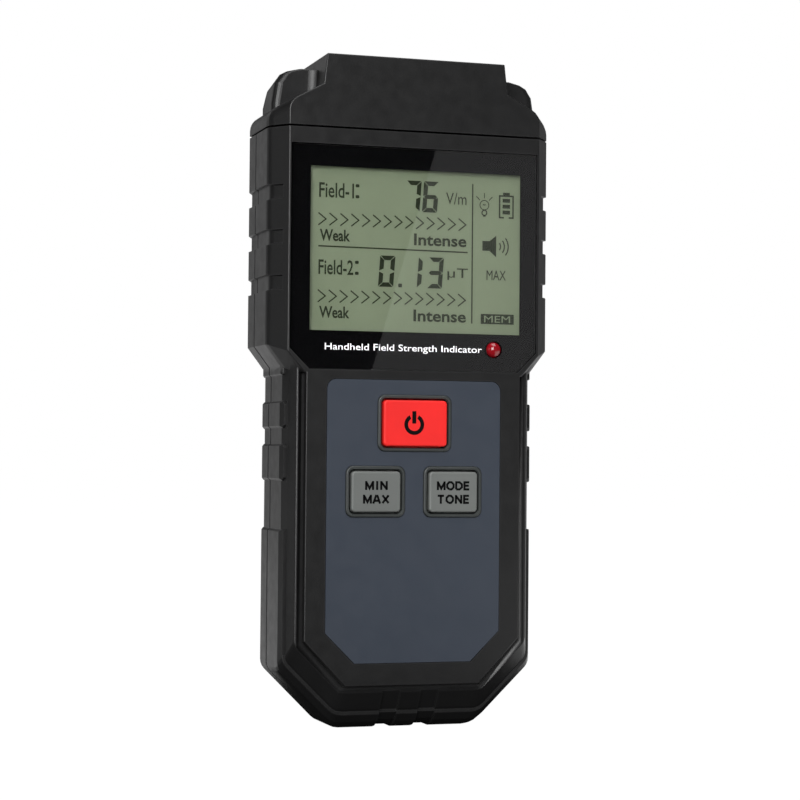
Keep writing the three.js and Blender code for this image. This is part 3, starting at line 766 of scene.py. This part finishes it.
def sensor_cap():
    cap = joined("sensor_cover", [
        rounded(grown(cap_shoulders(), -SKIN_DROP), 0.3),
        rounded(grown(cap_nose(), -SKIN_DROP), 0.24),
        rounded(grown(cap_block(), -SKIN_DROP), 0.35),
        *cap_fillets(),
    ])
    below = block((-40, -20, 100), (40, 20, CAP_BASE + 0.08))
    inside = block((-16, -11.2, 110), (16, 8, 127.9))
    cut(cap, [below, inside])
    finish_piece(cap, "housing", CASE_BLACK, ["sensor_cap"])


# ---------------------------------------------------------------- battery door, screws
def battery_door():
    low, high = box_mm("battery_door")
    panel_low = low[2] + 1.1
    door = cad_copy("battery_door", "battery_cover")
    skin = joined("door_skin", [
        block((low[0] + 0.01, 11.4, panel_low + 0.01), (high[0] - 0.01, high[1] - 0.01,
                                                        high[2] - 0.01), 0.4),
        block((low[0] - 1, 5, low[2] - 1), (high[0] + 1, 11.64, high[2] + 1)),
    ])
    combine(door, [skin], "INTERSECT")
    finish_piece(door, "battery_door", CASE_BLACK, ["battery_door"])


def case_screws():
    for index in range(1, 5):
        node = f"case_screw_{index}"
        low, high = box_mm(node)
        x, z = (low[0] + high[0]) / 2, (low[2] + high[2]) / 2
        tip, head = low[1], high[1]
        thread = [(1.1 - 0.18 * (step % 2), tip + 1.2 + 0.25 * step) for step in range(1, 40)]
        profile = [(0, tip), (0.7, tip + 1), *thread, (1.1, head - 1.6), (2.1, head - 1.6),
                   (2.1, head - 0.55), (1.75, head - 0.12), (1.4, head), (0, head)]
        screw = mesh_object(f"screw_{index}", lathe(profile, (x, 0, z), segments=32))
        cross = [block((x - a, head - 1, z - b), (x + a, head + 1, z + b))
                 for a, b in ((1.25, 0.25), (0.25, 1.25))]
        cut(screw, cross)
        finish_piece(screw, "housing", SCREW_STEEL, [node])


# ---------------------------------------------------------------- keys
def rounded_rectangle(x, z, width, height, radius, steps=6):
    a, b = width / 2 - radius, height / 2 - radius
    return [*arc((x + a, z + b), radius, 0, 90, steps), *arc((x - a, z + b), radius, 90, 180, steps),
            *arc((x - a, z - b), radius, 180, 270, steps), *arc((x + a, z - b), radius, 270, 360, steps)]


def cushion(x, z, width, height, corner, edge, top, base):
    """A rounded rectangle with a rounded rim: its flat top at depth top, its foot at base."""
    points = [(px, base, pz) for px, pz in rounded_rectangle(x, z, width, height, corner)]
    for step in range(6):
        turn = math.radians(90 * step / 5)
        inset = edge * (1 - math.cos(turn))
        depth = top + edge * (1 - math.sin(turn))
        points += [(px, depth, pz) for px, pz in rounded_rectangle(
            x, z, width - 2 * inset, height - 2 * inset, max(corner - inset, 0.05))]
    return hull(points)


def key_frame(node):
    """A key's centre and the size of its visible part, from its bezel and its own box."""
    low, high = box_mm(f"{node}_bezel")
    margin = 2 * (BEZEL_FLANGE + BEZEL_BAND + KEY_GAP)
    centre = ((low[0] + high[0]) / 2, (low[2] + high[2]) / 2)
    size = (high[0] - low[0] - margin, high[2] - low[2] - margin)
    return centre, size, low[1], box_mm(node)[0][1]


def key_pieces(node, material):
    (x, z), (width, height), rim_top, key_top = key_frame(node)
    key = cad_copy(node, f"{node}_top")
    lower = mesh_object("lower", block((x - 20, -12.4, z - 20), (x + 20, 0, z + 20)))
    combine(key, [lower], "INTERSECT")
    crown = mesh_object("crown", cushion(x, z, width + 0.02, height + 0.02, 0.75, 0.4, key_top, -11.6))
    combine(key, [crown], "UNION")
    finish_piece(key, node, material, [node])

    outer = (width + 2 * (KEY_GAP + BEZEL_BAND), height + 2 * (KEY_GAP + BEZEL_BAND))
    opening = (width + 2 * KEY_GAP, height + 2 * KEY_GAP)
    rim = mesh_object(f"{node}_rim", cushion(x, z, *outer, 1.5, 0.3, rim_top, -10.4))
    hole = cushion(x, z, *opening, 0.85, 0.1, -16, -8)
    flare = hull([(px, depth, pz) for depth, grow in ((rim_top - 0.1, 0.55), (rim_top + 0.35, -0.05))
                  for px, pz in rounded_rectangle(x, z, opening[0] + grow, opening[1] + grow, 0.9)])
    cut(rim, [hole, flare])
    finish_piece(rim, "housing", BEZEL_GREY, [f"{node}_bezel"])


# ---------------------------------------------------------------- flat marks
INK_THICK = 0.02


class Marks:
    """Thin printed shapes at one depth, gathered into a single piece."""

    def __init__(self, name, depth):
        self.name = name
        self.depth = depth
        self.solid = bmesh.new()

    def polygon(self, outline):
        made = prism(outline, self.depth, self.depth + INK_THICK)
        mesh = bpy.data.meshes.new("mark")
        made.to_mesh(mesh)
        made.free()
        self.solid.from_mesh(mesh)
        bpy.data.meshes.remove(mesh)

    def stroke(self, points, width):
        """A line of even width through points, with square ends and mitred bends."""
        line = [Vector(point) for point in points]
        left, right = [], []
        for index, point in enumerate(line):
            before = (point - line[index - 1]).normalized() if index else None
            after = (line[index + 1] - point).normalized() if index + 1 < len(line) else None
            before, after = before or after, after or before
            along = (before + after).normalized()
            reach = width / 2 / max(along.dot(before), 0.3)
            across = Vector((-along.y, along.x)) * reach
            left.append(tuple(point + across))
            right.append(tuple(point - across))
        self.polygon(left + right[::-1])

    def ring(self, centre, radius, width, start=0, end=360, steps=32):
        outer = arc(centre, radius + width / 2, start, end, steps)
        inner = arc(centre, radius - width / 2, start, end, steps)
        for index in range(steps):
            self.polygon([outer[index], outer[index + 1], inner[index + 1], inner[index]])

    def disc(self, centre, radius, steps=20):
        self.polygon(arc(centre, radius, 0, 360, steps)[:-1])

    def words(self, text, left, bottom, width, height, weight=0.0):
        """Plain lettering, stretched to fill a box."""
        curve = bpy.data.curves.new(self.name, "FONT")
        curve.body = text
        curve.offset = weight
        curve.resolution_u = 3
        curve.extrude = 0.01
        holder = bpy.data.objects.new("words", curve)
        bpy.context.scene.collection.objects.link(holder)
        mesh = bpy.data.meshes.new_from_object(
            holder.evaluated_get(bpy.context.evaluated_depsgraph_get()))
        bpy.data.objects.remove(holder)
        points = np.array([v.co for v in mesh.vertices])
        low, high = points.min(0), points.max(0)
        scale = (width / (high[0] - low[0]), height / (high[1] - low[1]))
        for vertex in mesh.vertices:
            x, y, thick = vertex.co
            vertex.co = (left + (x - low[0]) * scale[0],
                         self.depth + INK_THICK * (0.5 - math.copysign(0.5, thick)),
                         bottom + (y - low[1]) * scale[1])
        self.solid.from_mesh(mesh)
        bpy.data.meshes.remove(mesh)

    def finish(self, body, material):
        bmesh.ops.recalc_face_normals(self.solid, faces=self.solid.faces)
        piece = mesh_object(self.name, self.solid)
        piece.data.transform(TO_FRAME)
        piece.data.materials.append(material)
        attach(piece, body)
        return piece


# ---------------------------------------------------------------- display
SEGMENTS = {"0": "abcdef", "1": "ef", "3": "abcdg", "6": "acdefg", "7": "abc"}
DIGIT_LEAN = 0.07


def seven_segment(marks, digit, left, bottom, width, height):
    """One leaning seven-segment digit."""
    thick, gap = 0.86, 0.1
    half = height / 2
    ends = {
        "a": ((0, height), (width, height), (-1, -1)), "d": ((0, 0), (width, 0), (1, 1)),
        "f": ((0, half), (0, height), (1, 1)), "b": ((width, half), (width, height), (-1, -1)),
        "e": ((0, 0), (0, half), (1, 1)), "c": ((width, 0), (width, half), (-1, -1)),
    }
    for name in SEGMENTS[digit]:
        if name == "g":
            outline = [(gap + 0.1, half), (gap + 0.5, half + 0.4), (width - gap - 0.5, half + 0.4),
                       (width - gap - 0.1, half), (width - gap - 0.5, half - 0.4),
                       (gap + 0.5, half - 0.4)]
        else:
            start, end, inward = ends[name]
            flat = name in "ad"
            run = thick if flat else thick * 0.9
            if flat:
                outline = [(start[0] + gap, start[1]), (end[0] - gap, end[1]),
                           (end[0] - gap - run, end[1] + inward[1] * thick),
                           (start[0] + gap + run, start[1] + inward[1] * thick)]
            else:
                low_run = run if start[1] == 0 else run / 2
                high_run = run if end[1] == height else run / 2
                outline = [(start[0], start[1] + gap), (end[0], end[1] - gap),
                           (end[0] + inward[0] * thick, end[1] - gap - high_run),
                           (start[0] + inward[0] * thick, start[1] + gap + low_run)]
        marks.polygon([(left + x + DIGIT_LEAN * z, bottom + z) for x, z in outline])


READING_HEIGHT = 6.0
READING_WIDTH = 3.05
ROW_LEFT = -18.9
ROW_RIGHT = 10.85


def reading_row(marks, middle, label, unit_name, unit_left, digits):
    """One row: a label, a reading with its unit, a scale of chevrons and two words."""
    marks.words(label, ROW_LEFT, middle - 1.0, 6.9, 2.85, 0.012)
    for step in (-1, 1):
        dot_z = middle + 0.45 + step * 1.05
        marks.polygon(rounded_rectangle(-11.3, dot_z, 0.75, 0.6, 0.2, 3))
    for digit, left in digits:
        if digit == ".":
            marks.polygon(rounded_rectangle(left, middle - READING_HEIGHT / 2 + 0.35, 0.75, 0.72,
                                            0.12, 3))
        else:
            seven_segment(marks, digit, left, middle - READING_HEIGHT / 2, READING_WIDTH,
                          READING_HEIGHT)
    marks.words(unit_name, unit_left, middle - 1.25, 4.2, 2.3)
    for index in range(14):
        left = -19.0 + 2.17 * index
        marks.stroke([(left, middle - 3.95), (left + 1.5, middle - 5.12), (left, middle - 6.3)],
                     0.24)
    marks.words("Weak", ROW_LEFT + 0.2, middle - 9.3, 6.0, 2.25, 0.022)
    marks.words("Intense", ROW_RIGHT - 10.7, middle - 9.5, 10.7, 2.3, 0.022)


def status_icons(marks):
    """Lamp, battery, speaker and a small legend in the right-hand column."""
    lamp_x, lamp_z = 14.5, 102.5
    for angle in (45, 90, 135):
        inner, outer = (Vector((math.cos(math.radians(angle)), math.sin(math.radians(angle))))
                        * reach for reach in (1.35, 2.35))
        marks.stroke([(lamp_x + inner.x, lamp_z + inner.y), (lamp_x + outer.x, lamp_z + outer.y)],
                     0.16)
    marks.ring((lamp_x, lamp_z), 0.92, 0.16)
    marks.stroke([(lamp_x - 0.35, lamp_z - 0.05), (lamp_x - 0.15, lamp_z + 0.15),
                  (lamp_x, lamp_z - 0.05), (lamp_x + 0.15, lamp_z + 0.15),
                  (lamp_x + 0.35, lamp_z - 0.05)], 0.12)
    marks.ring((lamp_x, lamp_z - 1.5), 0.5, 0.22)
    marks.stroke([(lamp_x - 0.25, lamp_z - 2.15), (lamp_x + 0.25, lamp_z - 2.15)], 0.2)

    left, right, bottom, top = 17.65, 20.45, 100.2, 104.45
    marks.stroke([(18.55, bottom), (left, bottom), (left, top), (right, top), (right, bottom),
                  (19.55, bottom)], 0.3)
    marks.polygon(rounded_rectangle(19.05, top + 0.4, 1.4, 0.55, 0.08, 2))
    for bar in range(3):
        marks.polygon(rounded_rectangle(19.05, bottom + 1.05 + 1.15 * bar, 1.55, 0.75, 0.08, 2))

    marks.polygon([(14.15, 93.6), (15.6, 93.6), (17.0, 92.4), (17.0, 96.6), (15.6, 95.5),
                   (14.15, 95.5)])
    for radius in (1.1, 1.9, 2.7):
        marks.ring((16.8, 94.5), radius, 0.24, -38, 38, 10)
    marks.words("MAX", 15.05, 87.9, 4.0, 1.9, 0.0)


def status_box():
    """An inverse legend: a dark box whose letters show the cell behind it."""
    marks = Marks("display_status_box", LCD_DEPTH)
    marks.polygon(rounded_rectangle(17.33, 80.27, 6.85, 1.95, 0.1, 2))
    marks.finish("housing", LCD_INK)
    letters = Marks("display_status_letters", LCD_DEPTH - 0.02)
    letters.words("MEM", 14.6, 79.62, 5.4, 1.3, 0.0)
    letters.finish("housing", LCD_CELL)


LCD_DEPTH = box_mm("lcd_glass")[0][1] - 0.05


def display_marks():
    digits = Marks("display_readings", LCD_DEPTH)
    reading_row(digits, 103.6, "Field-1", "V/m", 6.6, [("7", -1.85), ("6", 1.7)])
    reading_row(digits, 88.9, "Field-2", "µT", 7.0,
                [("0", -7.05), (".", -2.6), ("1", 0.75), ("3", 2.8)])
    digits.stroke([(-18.96, 93.3), (11.1, 93.1)], 0.26)
    digits.stroke([(12.06, 79.3), (12.06, 106.5)], 0.26)
    digits.finish("housing", LCD_INK)
    icons = Marks("display_icons", LCD_DEPTH)
    status_icons(icons)
    icons.finish("housing", LCD_INK)
    status_box()


def window_pane():
    back = box_mm("display_window")[1][1]
    pane = cad_copy("display_window", "window_pane")
    cut(pane, [block((-40, back - 0.04, 40), (40, back + 1, 140))])
    finish_piece(pane, "housing", ACRYLIC, ["display_window"])
    pane.data.materials.append(BLACK_INK)
    for face in pane.data.polygons:
        face.material_index = int(abs(face.normal.y) < 0.5)
    pane.visible_shadow = False
    title = Marks("window_legend", back - 0.03)
    title.words("Handheld Field Strength Indicator", -17.8, 73.15, 31.6, 1.65, 0.0)
    title.finish("housing", WHITE_INK)


def indicator_lamp():
    low, high = box_mm("led_body")
    x, z = (low[0] + high[0]) / 2, (low[2] + high[2]) / 2
    flange, radius = (high[0] - low[0]) / 2, 1.5
    dome = [(radius * math.cos(t), low[1] + radius * (1 - math.sin(t)))
            for t in (math.radians(90 * step / 10) for step in range(11))]
    profile = [(0, high[1]), (flange, high[1]), (flange, high[1] - 0.7), (radius, high[1] - 0.7),
               *dome[:-1], (0, low[1])]
    lamp = mesh_object("indicator_lamp", lathe(profile, (x, 0, z)))
    finish_piece(lamp, "housing", LAMP_RED, ["led_body"], smooth=50)


# ---------------------------------------------------------------- key legends
def power_symbol():
    (x, z), _, _, key_top = key_frame("power_key")
    marks = Marks("power_symbol", key_top - INK_THICK)
    x, z = x - 0.3, z + 0.08
    marks.ring((x, z - 0.3), 1.62, 0.74, 118, 422, 36)
    marks.stroke([(x, z - 0.1), (x, z + 2.25)], 0.8)
    marks.finish("power_key", KEY_INK)


LETTERS = {
    "A": (1.0, [[(0, -0.12), (0.44, 1.1)], [(0.56, 1.1), (1, -0.12)], [(0.2, 0.28), (0.8, 0.28)]]),
    "D": (0.85, [[(0, 0), (0, 1), (0.5, 1), (0.85, 0.7), (0.85, 0.3), (0.5, 0), (0, 0)]]),
    "E": (0.72, [[(0.72, 0), (0, 0), (0, 1), (0.72, 1)], [(0, 0.52), (0.65, 0.52)]]),
    "I": (0.0, [[(0, -0.12), (0, 1.12)]]),
    "M": (1.0, [[(0, -0.12), (0, 1.12)], [(0, 1), (0.5, 0.1), (1, 1)], [(1, -0.12), (1, 1.12)]]),
    "N": (0.8, [[(0, -0.12), (0, 1.12)], [(0, 1), (0.8, 0)], [(0.8, -0.12), (0.8, 1.12)]]),
    "O": (0.95, [[(0.3, 0), (0, 0.3), (0, 0.7), (0.3, 1), (0.65, 1), (0.95, 0.7), (0.95, 0.3),
                  (0.65, 0), (0.3, 0)]]),
    "T": (0.84, [[(-0.05, 1), (0.89, 1)], [(0.42, 1), (0.42, -0.12)]]),
    "X": (0.9, [[(0, -0.05), (0.9, 1.05)], [(0, 1.05), (0.9, -0.05)]]),
}


def stroked_word(marks, text, left, bottom, width, height, line):
    """Plain block capitals drawn as strokes, spaced to fill a width."""
    tall = height - line
    wide = [LETTERS[letter][0] * tall for letter in text]
    gap = (width - sum(wide) - line) / (len(text) - 1)
    x = left + line / 2
    for letter, room in zip(text, wide):
        for points in LETTERS[letter][1]:
            marks.stroke([(x + px * tall, bottom + line / 2 + pz * tall)
                          for px, pz in points], line)
        x += room + gap


def key_words(node, upper, lower, widths):
    (x, z), _, _, key_top = key_frame(node)
    marks = Marks(f"{node}_legend", key_top - INK_THICK)
    for text, bottom, width in ((upper, z + 0.3, widths[0]), (lower, z - 2.3, widths[1])):
        stroked_word(marks, text, x - width / 2, bottom, width, 1.78, 0.42)
    marks.finish(node, KEY_INK)


def key_skirts():
    """Each key's thin rubber skirt, which buckles towards the mat as the key goes in; here it keeps its
    CAD shape, on a mesh of its own.
    """
    for joint in frame["record"]["behaviour"]["joints"]:
        for web in joint.get("deforming_nodes", ()):
            node = web["node"]
            skirt = finish_piece(cad_copy(node, node.replace("web", "skirt")), "housing",
                                 RUBBER_GREY, [node])
            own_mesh(skirt)


# ---------------------------------------------------------------- battery bay
def battery_cells():
    for index in (1, 2, 3):
        node = f"battery_{index}"
        low, high = box_mm(node)
        x, y = (low[0] + high[0]) / 2, (low[1] + high[1]) / 2
        radius, up = (high[0] - low[0]) / 2, index != 2
        rim = arc((radius - 0.4, 43.2), 0.4, 0, 90, 4)
        foot = arc((radius - 0.4, 0.7), 0.4, -90, 0, 4)
        profile = [(0, 0), (3.4, 0), (3.6, 0.3), *foot, *rim, (3.0, 43.5), (2.8, 43.3), (1.9, 43.3),
                   (1.8, 44.3), (1.5, 44.5), (0, 44.5)]
        if not up:
            profile = [(r, 44.5 - along) for r, along in profile]
        cell = mesh_object(f"cell_{index}", lathe(profile, (x, y, low[2]), "z"))
        finish_piece(cell, "housing", CELL_WRAP if up else CELL_WRAP_DOWN, [node])
        cell.data.materials.append(BRIGHT_NICKEL)
        for face in cell.data.polygons:
            off_axis = math.hypot(face.center.x / MM - x, face.center.y / MM - y)
            face.material_index = int(abs(face.normal.z) > 0.9 and off_axis < 3.3)


def plain_materials():
    """Materials of the CAD nodes that are shown as they are."""
    groups = (
        (BLACK_INK, "window_mask"), (LCD_CELL, "lcd_glass"), (DIFFUSER, "lcd_backlight lcd_frame"),
        (RUBBER_GREY, "contact_strip keypad_mat"),
        (CARBON_BLACK, "power_key_pill average_key_pill hold_key_pill"),
        (FILM_BLUE, "keypad_overlay"), (BOARD_GREEN, "main_board sensor_board"),
        (CHIP_BLACK, "controller_chip amplifier_chip regulator_chip buzzer"),
        (FERRITE_GREY, "ferrite_core"), (COPPER, "pickup_coil electric_field_plate"),
        (CAPACITOR_BLUE, "storage_capacitor"),
        (BRIGHT_NICKEL, "battery_spring_1 battery_spring_2 battery_spring_3 battery_plate_1 "
         "battery_plate_2 battery_plate_3 led_lead_1 led_lead_2 plate_lead_1 plate_lead_2 "
         "clock_crystal"),
    )
    for material, names in groups:
        for name in names.split():
            mesh = frame["nodes"][name].data
            mesh.materials.clear()
            mesh.materials.append(material)


# ---------------------------------------------------------------- stage
def floor():
    """A dark floor that only the camera sees as white, so that it hardly lights the object."""
    bpy.ops.mesh.primitive_circle_add(vertices=96, radius=6, fill_type="NGON")
    disc = bpy.context.object
    disc.name = "studio_floor"
    material, tree, shader, _ = new_material("studio_floor")
    shader.inputs["Base Color"].default_value = (0.04, 0.04, 0.04, 1)
    shader.inputs["Roughness"].default_value = 0.9
    shader.inputs["Specular IOR Level"].default_value = 0
    shader.inputs["Emission Color"].default_value = (1, 1, 1, 1)
    rays = tree.nodes.new("ShaderNodeLightPath")
    tree.links.new(rays.outputs["Is Camera Ray"], shader.inputs["Emission Strength"])
    disc.data.materials.append(material)


def area_light(name, place, aim, size, power, turn=0.0):
    """A soft box at a place in metres, aimed at a point and turned about its own axis."""
    lamp = bpy.data.lights.new(name, "AREA")
    lamp.shape = "RECTANGLE"
    lamp.size, lamp.size_y = size
    lamp.energy = power
    holder = bpy.data.objects.new(name, lamp)
    way = (Vector(aim) - Vector(place)).to_track_quat("-Z", "Y")
    holder.matrix_world = (Matrix.Translation(place) @ way.to_matrix().to_4x4()
                           @ Matrix.Rotation(turn, 4, "Z"))
    bpy.context.scene.collection.objects.link(holder)
    return holder


def lights():
    """A soft key from the front left, and a pale backdrop that shows in the sides."""
    middle = (0, 0, 0.07)
    area_light("front_box", (-0.5, -0.95, 0.4), middle, (0.7, 0.8), 13.5)
    area_light("top_box", (0.05, -0.2, 0.9), middle, (0.6, 0.6), 3.5)
    area_light("left_box", (-0.9, -0.16, 0.12), middle, (0.2, 0.7), 0.3)
    area_light("right_box", (0.8, 0.3, 0.3), middle, (0.4, 0.8), 0.4)
    for name, place, aim, size, power in (
            ("backdrop_left", (-0.45, 0.95, 0.25), middle, (0.7, 1.0), 0.9),
            ("backdrop_right", (0.45, 0.95, 0.25), middle, (0.7, 1.0), 0.5),
            ("floor_behind", (0, 0.36, 0.001), (0, 0.36, 1), (1.4, 0.66), 1.9),
            ("floor_right", (0.29, -0.03, 0.001), (0.29, -0.03, 1), (0.5, 0.3), 0.5)):
        area_light(name, place, aim, size, power).visible_camera = False


def glare_card():
    """A dim card in front and to the right, whose edge the window mirrors as a slant."""
    edge_low, edge_high = Vector((166.8, -600, 93.4)) * MM, Vector((197, -600, 196.7)) * MM
    along = (edge_high - edge_low).normalized()
    across = Vector((0, 1, 0)).cross(along)
    width, height = 0.22, 0.32
    middle = (edge_low + edge_high) / 2 + across * width / 2
    lamp = bpy.data.lights.new("glare_card", "AREA")
    lamp.shape = "RECTANGLE"
    lamp.size, lamp.size_y = width, height
    lamp.energy = 0.06
    holder = bpy.data.objects.new("glare_card", lamp)
    axes = Matrix((across, along, across.cross(along))).transposed()
    holder.matrix_world = Matrix.Translation(middle) @ axes.to_4x4()
    bpy.context.scene.collection.objects.link(holder)


def surroundings():
    """A white backdrop for the camera, and a dim grey room for everything else."""
    world = bpy.data.worlds.new("studio")
    bpy.context.scene.world = world
    world.use_nodes = True
    tree = world.node_tree
    room = tree.nodes["Background"]
    room.inputs["Color"].default_value = (0.012, 0.012, 0.012, 1)
    backdrop = tree.nodes.new("ShaderNodeBackground")
    backdrop.inputs["Color"].default_value = (1, 1, 1, 1)
    rays = tree.nodes.new("ShaderNodeLightPath")
    mix = tree.nodes.new("ShaderNodeMixShader")
    tree.links.new(rays.outputs["Is Camera Ray"], mix.inputs["Fac"])
    tree.links.new(room.outputs["Background"], mix.inputs[1])
    tree.links.new(backdrop.outputs["Background"], mix.inputs[2])
    tree.links.new(mix.outputs["Shader"], tree.nodes["World Output"].inputs["Surface"])
    bpy.context.scene.view_settings.view_transform = "Standard"


def camera():
    azimuth, elevation = CAMERA_AZIMUTH, CAMERA_ELEVATION
    back = Vector((math.sin(azimuth) * math.cos(elevation),
                   -math.cos(azimuth) * math.cos(elevation), math.sin(elevation)))
    right = (-back).cross(Vector((0, 0, 1))).normalized()
    turned = Matrix.Rotation(CAMERA_ROLL, 3, back)
    right = turned @ right
    axes = Matrix((right, back.cross(right), back)).transposed()
    lens = bpy.data.cameras.new("camera")
    lens.lens = CAMERA_LENS
    lens.clip_start = 0.01
    holder = bpy.data.objects.new("camera", lens)
    holder.matrix_world = Matrix.Translation(CAMERA_TARGET + back * CAMERA_DISTANCE) @ axes.to_4x4()
    bpy.context.scene.collection.objects.link(holder)
    bpy.context.scene.camera = holder


# ---------------------------------------------------------------- assembly
camera()
case_shells()
sensor_cap()
battery_door()
case_screws()
key_pieces("power_key", KEY_RED)
key_pieces("average_key", KEY_GREY)
key_pieces("hold_key", KEY_GREY)
window_pane()
display_marks()
indicator_lamp()
power_symbol()
key_words("average_key", "MIN", "MAX", (4.5, 5.3))
key_words("hold_key", "MODE", "TONE", (6.8, 6.7))
key_skirts()
battery_cells()
plain_materials()
floor()
lights()
glare_card()
surroundings()
